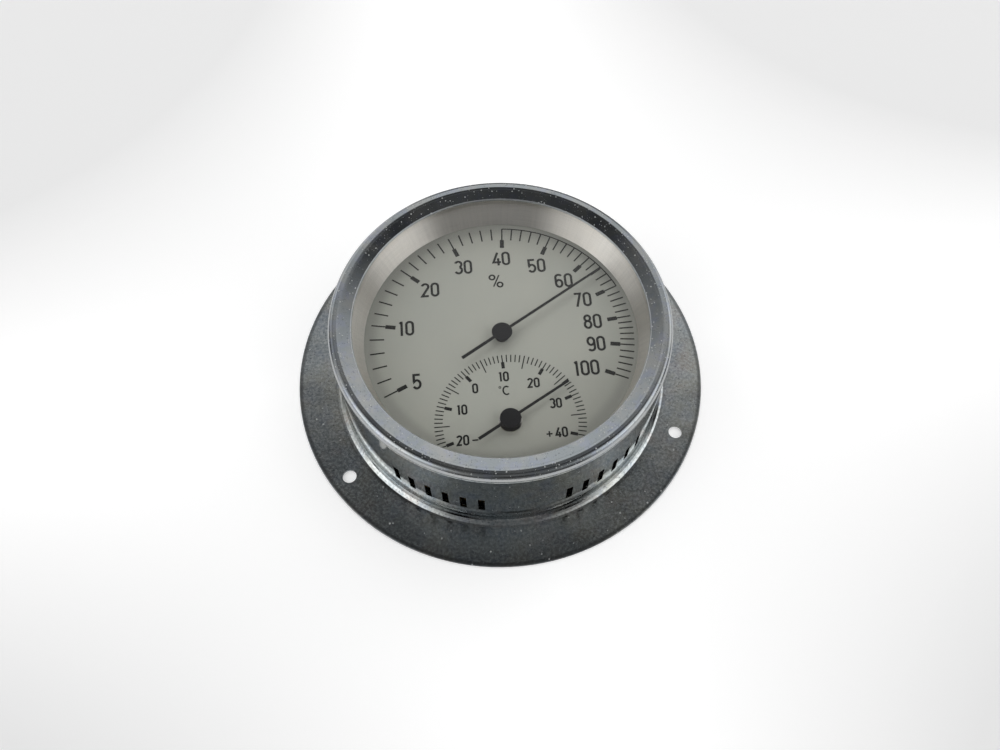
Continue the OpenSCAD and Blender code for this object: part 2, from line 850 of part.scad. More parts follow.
// Long blade that narrows towards its square tip, with a slightly wider tail
module hygro_pointer() {
  hub_w = 0.9;
  tip_w = 0.68;
  tail_w = 1;
  outline = [
    [-hygro_tail, -tail_w / 2], [0, -hub_w / 2], [hygro_tip, -tip_w / 2],
    [hygro_tip, tip_w / 2], [0, hub_w / 2], [-hygro_tail, tail_w / 2]
  ];
  color("black")
    on_dial([0, 0], hygro_blade_z)
      rotate([0, 0, hygro_angle])
        difference() {
          union() {
            linear_extrude(blade_t)
              polygon(outline);
            cylinder(r = blade_eye_r, h = blade_t, $fn = small_fn);
          }
          translate([0, 0, -1])
            cylinder(r = arbor_r + fit_gap, h = blade_t + 2, $fn = small_fn);
        }
}

// Turned cap with a blunted edge, blind on top
module hub_cap(bore) {
  outline = [
    [0, cap_h * 0.65], [bore, cap_h * 0.65], [bore, 0], [cap_r - cap_edge / 2, 0],
    [cap_r, cap_edge / 2], [cap_r, cap_h - cap_edge], [cap_r - cap_edge, cap_h], [0, cap_h]
  ];
  color("midnightblue")
    rotate_extrude($fn = small_fn)
      polygon(outline);
}

// Cap over the humidity pointer
module hygro_cap() {
  on_dial([0, 0], hygro_blade_z + blade_t)
    hub_cap(arbor_r + fit_gap);
}

// Arbor of the thermometer, held by its bushing
module thermo_arbor() {
  low = thermo_collet_z - 0.2;
  top = thermo_blade_z + blade_t + cap_h * 0.6;
  color("lightsteelblue")
    on_dial(thermo_pos, low)
      cylinder(r = thermo_arbor_r, h = top - low, $fn = small_fn);
}

// Collet that holds the bimetal's inner end
module thermo_collet() {
  color("gold")
    on_dial(thermo_pos, thermo_collet_z)
      turned(thermo_collet_r, bimetal_h + 0.6, thermo_arbor_r + fit_gap);
}

// Boss under the temperature pointer
module thermo_boss() {
  low = dial_z + collar_h + boss_gap;
  color("black")
    on_dial(thermo_pos, low)
      turned(boss_r, thermo_blade_z - low, thermo_arbor_r + fit_gap);
}

// Short blade of the same pattern
module thermo_pointer() {
  hub_w = 0.86;
  tip_w = 0.76;
  tail_w = 0.94;
  outline = [
    [-thermo_tail, -tail_w / 2], [0, -hub_w / 2], [thermo_tip, -tip_w / 2],
    [thermo_tip, tip_w / 2], [0, hub_w / 2], [-thermo_tail, tail_w / 2]
  ];
  color("black")
    on_dial(thermo_pos, thermo_blade_z)
      rotate([0, 0, thermo_angle])
        difference() {
          union() {
            linear_extrude(blade_t)
              polygon(outline);
            cylinder(r = blade_eye_r, h = blade_t, $fn = small_fn);
          }
          translate([0, 0, -1])
            cylinder(r = thermo_arbor_r + fit_gap, h = blade_t + 2, $fn = small_fn);
        }
}

// Cap over the temperature pointer
module thermo_cap() {
  on_dial(thermo_pos, thermo_blade_z + blade_t)
    hub_cap(thermo_arbor_r + fit_gap);
}

// Slotted spindle, turned from behind to set the humidity pointer
module adjuster_spindle() {
  head_low = pan_z - 1.2;
  head_top = pan_top_z;
  collar_top = carrier_z - washer_t;
  outline = [
    [0, head_low], [spindle_head_r, head_low], [spindle_head_r, head_top],
    [spindle_r, head_top], [spindle_r, collar_top - 0.8], [spindle_collar_r, collar_top - 0.8],
    [spindle_collar_r, collar_top], [spindle_r, collar_top],
    [spindle_r, crank_z + crank_t], [0, crank_z + crank_t]
  ];
  color("silver")
    on_dial(spindle_pos)
      difference() {
        rotate_extrude($fn = small_fn)
          polygon(outline);
        translate([-spindle_head_r - 1, -0.4, head_low - 1])
          cube([2 * spindle_head_r + 2, 0.8, 1.8]);
      }
}

// Washer that gives the spindle its friction
module friction_washer() {
  color("gold")
    on_dial(spindle_pos, carrier_z - washer_t)
      turned(spindle_collar_r, washer_t, spindle_r + run_gap);
}

// Round crank on top of the spindle
module adjuster_crank() {
  color("goldenrod")
    on_dial(spindle_pos, crank_z)
      turned(crank_r, crank_t, spindle_r + fit_gap);
}

// Eccentric pin that the hair is hooked on
module anchor_pin() {
  low = crank_z + crank_t;
  color("lightsteelblue")
    on_dial(anchor_pin_pos, low)
      cylinder(r = anchor_pin_r, h = pin_top_z - low, $fn = small_fn);
}

case_shell();
rear_cover();
bezel();
gasket();
window_glass();
dial_ring();
dial_plate();
carrier_plate();
base_pillars();
base_screws();
carrier_screws();
dial_pillars();
front_bridge();
bridge_pillars();
bridge_screws();
hairspring_stud();
hairspring();
hair_bundle();
hair_ferrules();
thermo_bushing();
thermo_nut();
bimetal_bracket();
bimetal_spiral();
sector_arbor();
sector_gear();
hair_lever();
lever_pin();
hygro_arbor();
pinion();
hairspring_collet();
hygro_boss();
hygro_pointer();
hygro_cap();
thermo_arbor();
thermo_collet();
thermo_boss();
thermo_pointer();
thermo_cap();
adjuster_spindle();
friction_washer();
adjuster_crank();
anchor_pin();
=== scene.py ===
import math

import bmesh
import bpy
from mathutils import Matrix, Vector


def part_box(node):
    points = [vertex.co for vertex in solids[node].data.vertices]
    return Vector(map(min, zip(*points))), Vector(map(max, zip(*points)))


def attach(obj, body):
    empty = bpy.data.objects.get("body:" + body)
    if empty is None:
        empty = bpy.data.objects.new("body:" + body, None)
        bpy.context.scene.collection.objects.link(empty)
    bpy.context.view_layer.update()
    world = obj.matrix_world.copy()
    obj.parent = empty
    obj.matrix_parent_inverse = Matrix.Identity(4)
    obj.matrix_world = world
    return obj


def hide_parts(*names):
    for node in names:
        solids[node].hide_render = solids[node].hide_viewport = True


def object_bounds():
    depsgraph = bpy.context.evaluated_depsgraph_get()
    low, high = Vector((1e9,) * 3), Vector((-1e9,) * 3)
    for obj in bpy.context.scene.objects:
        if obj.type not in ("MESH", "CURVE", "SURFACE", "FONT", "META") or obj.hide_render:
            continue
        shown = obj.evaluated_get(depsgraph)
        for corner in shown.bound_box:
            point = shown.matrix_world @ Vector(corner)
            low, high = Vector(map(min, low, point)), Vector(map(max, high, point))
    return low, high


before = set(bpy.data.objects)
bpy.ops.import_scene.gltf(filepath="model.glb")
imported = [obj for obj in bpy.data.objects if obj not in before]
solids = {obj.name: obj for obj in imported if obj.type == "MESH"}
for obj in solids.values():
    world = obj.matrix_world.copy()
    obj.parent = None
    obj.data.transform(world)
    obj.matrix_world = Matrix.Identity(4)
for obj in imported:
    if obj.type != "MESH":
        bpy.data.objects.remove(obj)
cad_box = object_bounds()
scene = bpy.context.scene
MM = 0.001

# Viewpoint
# The instrument lies on its back and is seen from above its lower edge and a little
# from the left, by a camera about 31 cm away.
viewpoint = bpy.data.cameras.new("viewpoint")
viewpoint.sensor_width = 36
viewpoint.sensor_fit = "HORIZONTAL"
viewpoint.lens = 33.34
viewpoint.shift_x = -0.0482
viewpoint.shift_y = -0.0046
viewpoint.clip_start = 0.01
viewpoint_object = bpy.data.objects.new("viewpoint", viewpoint)
viewpoint_object.location = Vector((-18.87, -140.5, 272.63)) * MM
viewpoint_object.rotation_euler = [math.radians(turn) for turn in (27.563, -2.324, -9.33)]
scene.collection.objects.link(viewpoint_object)
scene.camera = viewpoint_object
scene.view_settings.view_transform = "Standard"


# Table
# A plain white board under the instrument. It turns slightly grey towards the
# corners of the picture, is white further away, and keeps the soft shadow.
def put(tree, kind, inputs=None, **settings):
    """Adds a node with its settings, and sets or links its inputs."""
    made = tree.nodes.new(kind)
    for key, value in settings.items():
        setattr(made, key, value)
    for key, value in (inputs or {}).items():
        socket = made.inputs[key]
        if isinstance(value, bpy.types.NodeSocket):
            tree.links.new(value, socket)
        else:
            socket.default_value = value
    return made


def calc(tree, operation, *values):
    """One step of arithmetic between sockets and numbers."""
    step = put(tree, "ShaderNodeMath", dict(enumerate(values)), operation=operation)
    return step.outputs[0]


def ramp(tree, value, low, high, start=0.0, end=1.0, way="SMOOTHSTEP"):
    """Maps a value between two limits to another range, held beyond the limits."""
    limits = {"Value": value, "From Min": low, "From Max": high, "To Min": start, "To Max": end}
    return put(tree, "ShaderNodeMapRange", limits, interpolation_type=way).outputs[0]


def tint(tree, share, first, second):
    """Mixes two colours by a share from 0 to 1."""
    step = put(
        tree,
        "ShaderNodeMix",
        {0: share, 6: first, 7: second},
        data_type="RGBA",
        clamp_factor=True,
    )
    return step.outputs[2]


def feed(tree, skin, **sources):
    """Links sources to the shader's sockets, whose names are written with _ for a space."""
    for key, source in sources.items():
        tree.links.new(source, skin.inputs[key.replace("_", " ")])


def seen(red, green, blue):
    """A colour as it looks on a screen, 0 to 255, as the linear value of a socket."""
    parts = [c / 255 for c in (red, green, blue)]
    linear = [c / 12.92 if c <= 0.04045 else ((c + 0.055) / 1.055) ** 2.4 for c in parts]
    return (*linear, 1.0)


def new_finish(name, colour, roughness, metallic=0.0):
    """A material with its Principled shader, both returned with the tree."""
    finish = bpy.data.materials.new(name)
    finish.use_nodes = True
    tree = finish.node_tree
    tree.nodes.clear()
    skin = put(tree, "ShaderNodeBsdfPrincipled")
    out = put(tree, "ShaderNodeOutputMaterial")
    tree.links.new(skin.outputs[0], out.inputs["Surface"])
    skin.inputs["Base Color"].default_value = colour
    skin.inputs["Roughness"].default_value = roughness
    skin.inputs["Metallic"].default_value = metallic
    return finish, tree, skin


board_half = 3.0
board_top = -0.05 * MM
pale_middle = (8 * MM, 4 * MM)
white_from, white_beyond = 360 * MM, 800 * MM
# Amounts of the board's own glow, and how fast it falls towards the corners
board_glow = 0.44
corner_loss = 0.31
corner_rate = 20.8
mirrored_glow = 0.12
board = bpy.data.meshes.new("table")
corners = [(-1, -1), (1, -1), (1, 1), (-1, 1)]
board.from_pydata([(x * board_half, y * board_half, board_top) for x, y in corners], [], [(0, 1, 2, 3)])
table = bpy.data.objects.new("table", board)
scene.collection.objects.link(table)
board_finish, tree, skin = new_finish("white_board", (0.78, 0.78, 0.78, 1), 0.9)
spot = put(tree, "ShaderNodeTexCoord").outputs["Object"]
axes = put(tree, "ShaderNodeSeparateXYZ", {0: spot}).outputs
sideways = calc(tree, "ABSOLUTE", calc(tree, "SUBTRACT", axes[0], pale_middle[0]))
along = calc(tree, "ABSOLUTE", calc(tree, "SUBTRACT", axes[1], pale_middle[1]))
corner = calc(tree, "MULTIPLY", calc(tree, "MULTIPLY", sideways, along), corner_rate)
paleness = calc(tree, "SUBTRACT", board_glow, calc(tree, "MINIMUM", corner, corner_loss))
distance = put(tree, "ShaderNodeVectorMath", {0: spot}, operation="LENGTH").outputs["Value"]
far = ramp(tree, distance, white_from, white_beyond, way="LINEAR")
paleness = calc(tree, "ADD", paleness, far)
rays = put(tree, "ShaderNodeLightPath").outputs
mirrored = calc(tree, "MAXIMUM", rays["Is Glossy Ray"], rays["Is Transmission Ray"])
glow = calc(tree, "MULTIPLY", rays["Is Camera Ray"], paleness)
glow = calc(tree, "ADD", glow, calc(tree, "MULTIPLY", mirrored, mirrored_glow))
pale = put(tree, "ShaderNodeCombineXYZ", {0: glow, 1: glow, 2: glow}).outputs[0]
feed(tree, skin, Emission_Color=pale)
skin.inputs["Emission Strength"].default_value = 1.0
board.materials.append(board_finish)


# Light
# A white studio with a dark ceiling: wide soft patches of light to the left, to the
# right and low behind the instrument, a few weak ones in front, and one soft box.
patch_reach = math.radians(30)
patch = bpy.data.node_groups.new("soft_patch", "ShaderNodeTree")
for key, kind in (("Vector", "Vector"), ("Toward", "Vector"), ("Amount", "Float")):
    patch.interface.new_socket(key, in_out="INPUT", socket_type="NodeSocket" + kind)
patch.interface.new_socket("Light", in_out="OUTPUT", socket_type="NodeSocketFloat")
given = patch.nodes.new("NodeGroupInput").outputs
result = patch.nodes.new("NodeGroupOutput").inputs
facing = put(
    patch,
    "ShaderNodeVectorMath",
    {0: given["Vector"], 1: given["Toward"]},
    operation="DOT_PRODUCT",
).outputs["Value"]
fade = ramp(patch, facing, math.cos(patch_reach), 1.0)
patch.links.new(calc(patch, "MULTIPLY", fade, given["Amount"]), result["Light"])


def heading(azimuth, elevation):
    """Unit vector towards a light: azimuth 0 is right, 90 behind, 180 left, 270 in front."""
    a, e = math.radians(azimuth), math.radians(elevation)
    return Vector((math.cos(a) * math.cos(e), math.sin(a) * math.cos(e), math.sin(e)))


# Azimuth, elevation and amount of each patch
left = ((195, 42, 1.46), (165, 42, 0.4), (225, 42, 0.35), (180, 16, 0.86), (210, 16, 0.66))
right = ((345, 42, 1.28), (15, 42, 0.56), (315, 42, 0.37), (30, 16, 1.24), (330, 16, 0.86))
behind = ((75, 42, 0.96), (105, 42, 0.14), (135, 42, 0.3), (120, 16, 1.0))
front = ((270, 16, 0.21), (315, 66, 0.16), (225, 66, 0.12))
overhead = ((0, 90, 0.07),)

room = bpy.data.worlds.new("room")
scene.world = room
room.use_nodes = True
tree = room.node_tree
tree.nodes.clear()
way = put(tree, "ShaderNodeTexCoord").outputs["Generated"]
light = 0.0
for azimuth, elevation, amount in (*left, *right, *behind, *front, *overhead):
    inputs = {"Vector": way, "Toward": heading(azimuth, elevation), "Amount": amount}
    made = put(tree, "ShaderNodeGroup", inputs, node_tree=patch)
    light = calc(tree, "ADD", light, made.outputs["Light"])
rays = put(tree, "ShaderNodeLightPath").outputs
strength = put(tree, "ShaderNodeMix", {0: rays["Is Camera Ray"], 2: light, 3: 1.0}, data_type="FLOAT")
sky = put(tree, "ShaderNodeBackground", {"Color": (1, 1, 1, 1), "Strength": strength.outputs[0]})
put(tree, "ShaderNodeOutputWorld", {"Surface": sky.outputs[0]})

box_side = 0.9
box_glow = 0.98
box_way = heading(80, 56)
box_distance = 1.1
lamp = bpy.data.lights.new("soft_box", "AREA")
lamp.shape = "SQUARE"
lamp.size = box_side
lamp.energy = box_glow * math.pi * box_side * box_side
soft_box = bpy.data.objects.new("soft_box", lamp)
scene.collection.objects.link(soft_box)
soft_box.location = box_way * box_distance
soft_box.rotation_euler = box_way.to_track_quat("Z", "Y").to_euler()
soft_box.visible_glossy = False


# Case shell
# One piece of steel sheet, drawn into a cup with a wide flange, punched with six
# groups of slots and zinc plated. The plating is mottled and lightly stained.
def field(name, inputs):
    """Opens a node group for a surface effect: a Vector, named numbers and a Mask."""
    group = bpy.data.node_groups.new(name, "ShaderNodeTree")
    group.interface.new_socket("Vector", in_out="INPUT", socket_type="NodeSocketVector")
    for key, value in inputs.items():
        socket = group.interface.new_socket(key, in_out="INPUT", socket_type="NodeSocketFloat")
        socket.default_value = value
    group.interface.new_socket("Mask", in_out="OUTPUT", socket_type="NodeSocketFloat")
    entry = group.nodes.new("NodeGroupInput")
    leave = group.nodes.new("NodeGroupOutput")
    return group, entry.outputs, leave.inputs


def off_axis(tree, spot):
    """Distance of a spot from the instrument's axis."""
    flat = put(tree, "ShaderNodeVectorMath", {0: spot, 1: (1, 1, 0)}, operation="MULTIPLY")
    return put(tree, "ShaderNodeVectorMath", {0: flat.outputs[0]}, operation="LENGTH").outputs["Value"]


# clouds: soft irregular patches
clouds, given, result = field("clouds", {"Scale": 100, "Detail": 3, "Low": 0.4, "High": 0.6})
noise = put(
    clouds,
    "ShaderNodeTexNoise",
    {"Vector": given["Vector"], "Scale": given["Scale"], "Detail": given["Detail"], "Roughness": 0.6},
)
spread = ramp(clouds, noise.outputs[0], given["Low"], given["High"])
clouds.links.new(spread, result["Mask"])

# grains: scattered small round specks or pits of different sizes
grains, given, result = field("grains", {"Scale": 800, "Share": 0.2, "Size": 0.3})
cells = put(
    grains,
    "ShaderNodeTexVoronoi",
    {"Vector": given["Vector"], "Scale": given["Scale"], "Randomness": 1.0},
    feature="F1",
)
pick = put(grains, "ShaderNodeSeparateColor", {0: cells.outputs["Color"]}).outputs
chosen = calc(grains, "LESS_THAN", pick[0], given["Share"])
reach = calc(grains, "MULTIPLY", given["Size"], calc(grains, "ADD", pick[1], 0.3))
near = ramp(grains, cells.outputs["Distance"], 0.0, reach, 1.0, 0.0)
grains.links.new(calc(grains, "MULTIPLY", chosen, near), result["Mask"])

# band: the ring between two distances from the axis, soft at both sides
band, given, result = field("band", {"Low": 0.0, "High": 1.0, "Soft": 0.001})
radius = off_axis(band, given["Vector"])
inside = ramp(band, radius, calc(band, "SUBTRACT", given["Low"], given["Soft"]), given["Low"])
outside = ramp(band, radius, given["High"], calc(band, "ADD", given["High"], given["Soft"]), 1.0, 0.0)
band.links.new(calc(band, "MULTIPLY", inside, outside), result["Mask"])


def effect(tree, group, spot, **values):
    """Places a surface effect in a material with its own values."""
    return put(tree, "ShaderNodeGroup", {"Vector": spot, **values}, node_tree=group).outputs[0]


def over(tree, under, shade, mask, amount=1.0):
    """Lays a colour over another where a mask shows, by an amount from 0 to 1."""
    return tint(tree, calc(tree, "MULTIPLY", mask, amount), under, shade)


def add_up(tree, base, *terms):
    """A base value plus masks, each times its own amount."""
    for mask, amount in terms:
        base = calc(tree, "MULTIPLY_ADD", mask, amount, base)
    return base


def relief(tree, skin, height, depth, waves=None, swell=0.0):
    """Gives a finish its fine relief, over slow waves if there are any."""
    bump = put(tree, "ShaderNodeBump", {"Height": height, "Strength": 1.0, "Distance": depth})
    if waves:
        under = put(tree, "ShaderNodeBump", {"Height": waves, "Strength": 1.0, "Distance": swell})
        tree.links.new(under.outputs[0], bump.inputs["Normal"])
    feed(tree, skin, Normal=bump.outputs[0])


def dress(name, finish):
    """Gives a CAD solid its finish."""
    for slot in solids[name].material_slots:
        slot.material = finish


flange_r = cad_box[1][0]
rim_width = 0.8 * MM
wall_foot_r = 53.8 * MM
zinc, tree, skin = new_finish("zinc_plate", seen(168, 173, 175), 0.34, 1.0)
spot = put(tree, "ShaderNodeTexCoord").outputs["Object"]
patches = effect(tree, clouds, spot, Scale=45, Detail=3, Low=0.38, High=0.64)
mottle = effect(tree, clouds, spot, Scale=1100, Detail=3, Low=0.38, High=0.66)
stains = effect(tree, clouds, spot, Scale=28, Detail=5, Low=0.55, High=0.72)
blue_haze = effect(tree, clouds, spot, Scale=150, Detail=4, Low=0.48, High=0.64)
elsewhere = put(tree, "ShaderNodeMapping", {"Vector": spot, "Location": (0.3, 0.2, 0.1)}).outputs[0]
pink_haze = effect(tree, clouds, elsewhere, Scale=110, Detail=4, Low=0.5, High=0.66)
specks = effect(tree, grains, spot, Scale=1500, Share=0.42, Size=0.5)
oxide = effect(tree, grains, spot, Scale=1000, Share=0.045, Size=0.34)
rim = effect(tree, band, spot, Low=flange_r - rim_width, Soft=0.8 * MM)
wall = effect(tree, band, spot, High=wall_foot_r, Soft=1.0 * MM)
hazy = add_up(tree, 0.2, (wall, 0.12))
colour = tint(tree, patches, seen(158, 166, 170), seen(172, 174, 168))
colour = over(tree, colour, seen(150, 142, 138), stains, 0.4)
colour = over(tree, colour, seen(138, 152, 180), blue_haze, hazy)
colour = over(tree, colour, seen(182, 162, 154), pink_haze, hazy)
colour = over(tree, colour, seen(212, 216, 216), mottle, 0.5)
colour = over(tree, colour, seen(78, 82, 92), specks, 0.8)
colour = over(tree, colour, seen(70, 72, 74), rim, 0.55)
colour = over(tree, colour, seen(190, 192, 190), oxide)
dull = add_up(tree, 0.19, (mottle, 0.04), (specks, 0.06), (wall, -0.14), (oxide, 0.4))
feed(tree, skin, Base_Color=colour, Roughness=dull, Metallic=add_up(tree, 1.0, (oxide, -0.8)))
fine = put(tree, "ShaderNodeTexNoise", {"Vector": spot, "Scale": 1500.0, "Detail": 3.0}).outputs[0]
smoother = add_up(tree, 1.0, (wall, -0.8))
height = calc(tree, "MULTIPLY", add_up(tree, fine, (specks, -0.6)), smoother)
swells = put(tree, "ShaderNodeTexNoise", {"Vector": spot, "Scale": 42.0, "Detail": 1.5}).outputs[0]
relief(tree, skin, height, 0.01 * MM, swells, 0.4 * MM)
dress("case_shell", zinc)

# Rear cover
# A pressed steel disc with air holes, sprung into the flange and plated with the
# case. Its back is scuffed from handling.
cover_zinc, tree, skin = new_finish("cover_zinc", seen(170, 173, 173), 0.36, 1.0)
spot = put(tree, "ShaderNodeTexCoord").outputs["Object"]
patches = effect(tree, clouds, spot, Scale=60, Detail=4, Low=0.38, High=0.66)
scuffs = effect(tree, clouds, spot, Scale=700, Detail=2, Low=0.45, High=0.7)
specks = effect(tree, grains, spot, Scale=700, Share=0.12, Size=0.4)
colour = tint(tree, patches, seen(158, 163, 166), seen(178, 178, 172))
colour = over(tree, colour, seen(104, 98, 92), specks, 0.45)
feed(tree, skin, Base_Color=colour, Roughness=add_up(tree, 0.3, (scuffs, 0.12)))
relief(tree, skin, scuffs, 0.01 * MM)
dress("rear_cover", cover_zinc)

# Screws, arbors and pins
# Turned steel: bright, with fine turning marks round each axis and a slight
# yellowing from oil.
turned_steel, tree, skin = new_finish("turned_steel", seen(196, 198, 200), 0.28, 1.0)
spot = put(tree, "ShaderNodeTexCoord").outputs["Object"]
haze = effect(tree, clouds, spot, Scale=500, Detail=3, Low=0.4, High=0.65)
rings = put(
    tree,
    "ShaderNodeTexWave",
    {"Vector": spot, "Scale": 2500.0, "Distortion": 1.5},
    bands_direction="Z",
)
colour = tint(tree, haze, seen(188, 189, 190), seen(206, 203, 194))
feed(tree, skin, Base_Color=colour, Roughness=add_up(tree, 0.2, (haze, 0.14)))
relief(tree, skin, rings.outputs[1], 0.004 * MM)
for name in (
    "base_screws",
    "carrier_screws",
    "bridge_screws",
    "sector_arbor",
    "lever_pin",
    "pinion",
    "hygro_arbor",
    "thermo_arbor",
    "hairspring_stud",
    "adjuster_spindle",
    "anchor_pin",
):
    dress(name, turned_steel)

# Plates, bridge, pillars and brass fittings
# Rolled brass, ground flat with straight fine lines, and a little darker where it
# has tarnished.
ground_brass, tree, skin = new_finish("ground_brass", seen(205, 172, 108), 0.32, 1.0)
spot = put(tree, "ShaderNodeTexCoord").outputs["Object"]
tarnish = effect(tree, clouds, spot, Scale=90, Detail=5, Low=0.42, High=0.72)
long_way = put(tree, "ShaderNodeMapping", {"Vector": spot, "Scale": (1.0, 30.0, 6.0)}).outputs[0]
lines = put(tree, "ShaderNodeTexNoise", {"Vector": long_way, "Scale": 300.0, "Detail": 4.0}).outputs[0]
colour = tint(tree, tarnish, seen(214, 182, 116), seen(168, 134, 84))
colour = over(tree, colour, seen(236, 212, 156), lines, 0.3)
feed(tree, skin, Base_Color=colour, Roughness=add_up(tree, 0.2, (lines, 0.25)))
relief(tree, skin, lines, 0.006 * MM)
for name in (
    "carrier_plate",
    "base_pillars",
    "dial_pillars",
    "front_bridge",
    "bridge_pillars",
    "hair_ferrules",
    "bimetal_bracket",
    "sector_gear",
    "hairspring_collet",
    "thermo_collet",
    "adjuster_crank",
):
    dress(name, ground_brass)

# Springs and washer
# Rolled phosphor bronze, smooth and reddish, with streaks along the rolling.
spring_bronze, tree, skin = new_finish("spring_bronze", seen(184, 132, 92), 0.3, 1.0)
spot = put(tree, "ShaderNodeTexCoord").outputs["Object"]
flame = effect(tree, clouds, spot, Scale=400, Detail=3, Low=0.38, High=0.68)
colour = tint(tree, flame, seen(190, 140, 98), seen(160, 108, 84))
feed(tree, skin, Base_Color=colour, Roughness=add_up(tree, 0.24, (flame, 0.12)))
relief(tree, skin, flame, 0.004 * MM)
for name in ("hairspring", "friction_washer"):
    dress(name, spring_bronze)

# Thermometer's strip
# Two rolled metals bonded face to face and wound into a spiral: a yellowish grey,
# with streaks along the rolling and heat tints from stabilising.
two_metals, tree, skin = new_finish("two_metal_strip", seen(168, 158, 146), 0.34, 1.0)
spot = put(tree, "ShaderNodeTexCoord").outputs["Object"]
heat = effect(tree, clouds, spot, Scale=130, Detail=3, Low=0.36, High=0.66)
rolled = put(tree, "ShaderNodeMapping", {"Vector": spot, "Scale": (1.0, 1.0, 14.0)}).outputs[0]
streaks = effect(tree, clouds, rolled, Scale=260, Detail=3, Low=0.35, High=0.7)
colour = tint(tree, heat, seen(176, 166, 150), seen(146, 122, 112))
colour = over(tree, colour, seen(200, 196, 188), streaks, 0.3)
feed(tree, skin, Base_Color=colour, Roughness=add_up(tree, 0.26, (streaks, 0.14)))
relief(tree, skin, streaks, 0.005 * MM)
dress("bimetal_spiral", two_metals)

# Thermometer's bushing, its nut and the hair's lever
# Turned and milled brass with a bright nickel plate, a little warm in colour.
nickel, tree, skin = new_finish("nickel_plate", seen(206, 205, 198), 0.2, 1.0)
spot = put(tree, "ShaderNodeTexCoord").outputs["Object"]
warm = effect(tree, clouds, spot, Scale=350, Detail=3, Low=0.4, High=0.7)
colour = tint(tree, warm, seen(212, 212, 208), seen(194, 190, 176))
feed(tree, skin, Base_Color=colour, Roughness=add_up(tree, 0.16, (warm, 0.12)))
relief(tree, skin, warm, 0.004 * MM)
for name in ("thermo_bushing", "thermo_nut", "hair_lever"):
    dress(name, nickel)

# Hair ribbon
# The sensing element: 120 degreased straw-coloured hairs laid side by side, crimped
# in a brass ferrule at each end.
ferrule_reach = 4.2 * MM
strand_r = 0.04 * MM
wander = 0.06 * MM
rows, row_step, row_play = 24, 0.086 * MM, 0.05 * MM
layers, layer_step, layer_play = 5, 0.13 * MM, 0.04 * MM
lever_low, lever_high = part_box("lever_pin")
anchor_low, anchor_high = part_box("anchor_pin")
ribbon_low, ribbon_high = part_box("hair_bundle")
hair_from = (lever_low + lever_high) / 2
hair_to = (anchor_low + anchor_high) / 2
hair_mid_z = (ribbon_low.z + ribbon_high.z) / 2
run = Vector((hair_to.x - hair_from.x, hair_to.y - hair_from.y, 0))
lengthwise = run.normalized()
across = Vector((-lengthwise.y, lengthwise.x, 0))
first = Vector((hair_from.x, hair_from.y, hair_mid_z)) + lengthwise * ferrule_reach
last = Vector((hair_to.x, hair_to.y, hair_mid_z)) - lengthwise * ferrule_reach
starts = bpy.data.meshes.new("hair_roots")
roots = []
for row in range(rows):
    for layer in range(layers):
        # A quick sine gives each strand a small shift of its own
        shift = 0.25 * math.sin(row * 12.9898 + layer * 78.233)
        side = (layer - (layers - 1) / 2) * layer_step + shift * layer_play
        rise = (row - (rows - 1) / 2) * row_step + shift * row_play
        roots.append(first + across * side + Vector((0, 0, rise)))
starts.from_pydata(roots, [], [])
hair_strands = bpy.data.objects.new("hair_strands", starts)
scene.collection.objects.link(hair_strands)

straw, tree, skin = new_finish("straw_hair", seen(196, 168, 118), 0.42)
spot = put(tree, "ShaderNodeTexCoord").outputs["Object"]
tones = effect(tree, clouds, spot, Scale=900, Detail=2, Low=0.3, High=0.7)
feed(tree, skin, Base_Color=tint(tree, tones, seen(214, 190, 140), seen(158, 126, 80)))
skin.inputs["Specular IOR Level"].default_value = 0.6
relief(tree, skin, tones, 0.01 * MM)


def built(host, tree, **values):
    """Runs a Geometry Nodes tree on an object and leaves its result as a plain mesh."""
    modifier = host.modifiers.new("build", "NODES")
    modifier.node_group = tree
    for item in tree.interface.items_tree:
        key = item.name.replace(" ", "_")
        if item.in_out == "INPUT" and key in values:
            modifier[item.identifier] = values[key]
    bpy.context.view_layer.update()
    result = host.evaluated_get(bpy.context.evaluated_depsgraph_get())
    mesh = bpy.data.meshes.new_from_object(result)
    host.modifiers.remove(modifier)
    old = host.data
    host.data = mesh
    bpy.data.meshes.remove(old)
    mesh.name = host.name


def shape_tree(name, numbers, others=None):
    """Opens a Geometry Nodes tree with its named inputs."""
    tree = bpy.data.node_groups.new(name, "GeometryNodeTree")
    tree.interface.new_socket("Geometry", in_out="INPUT", socket_type="NodeSocketGeometry")
    for key, value in numbers.items():
        socket = tree.interface.new_socket(key, in_out="INPUT", socket_type="NodeSocketFloat")
        socket.default_value = value
    for key, kind in (others or {}).items():
        tree.interface.new_socket(key, in_out="INPUT", socket_type=kind)
    tree.interface.new_socket("Geometry", in_out="OUTPUT", socket_type="NodeSocketGeometry")
    return tree, tree.nodes.new("NodeGroupInput").outputs, tree.nodes.new("NodeGroupOutput").inputs


strand_tree, given, result = shape_tree(
    "hair_run",
    {"Length": 0.06, "Strand radius": strand_r, "Wander": wander},
    {"Turn": "NodeSocketVector", "Finish": "NodeSocketMaterial"},
)
end = put(strand_tree, "ShaderNodeCombineXYZ", {0: given["Length"]})
line = put(strand_tree, "GeometryNodeCurvePrimitiveLine", {"End": end.outputs[0]})
split = put(strand_tree, "GeometryNodeResampleCurve", {"Curve": line.outputs[0], "Count": 14})
copies = put(
    strand_tree,
    "GeometryNodeInstanceOnPoints",
    {"Points": given["Geometry"], "Instance": split.outputs[0], "Rotation": given["Turn"]},
)
real = put(strand_tree, "GeometryNodeRealizeInstances", {"Geometry": copies.outputs[0]})
where = put(strand_tree, "GeometryNodeInputPosition").outputs[0]
stir = put(strand_tree, "ShaderNodeTexNoise", {"Vector": where, "Scale": 90.0, "Detail": 1.0})
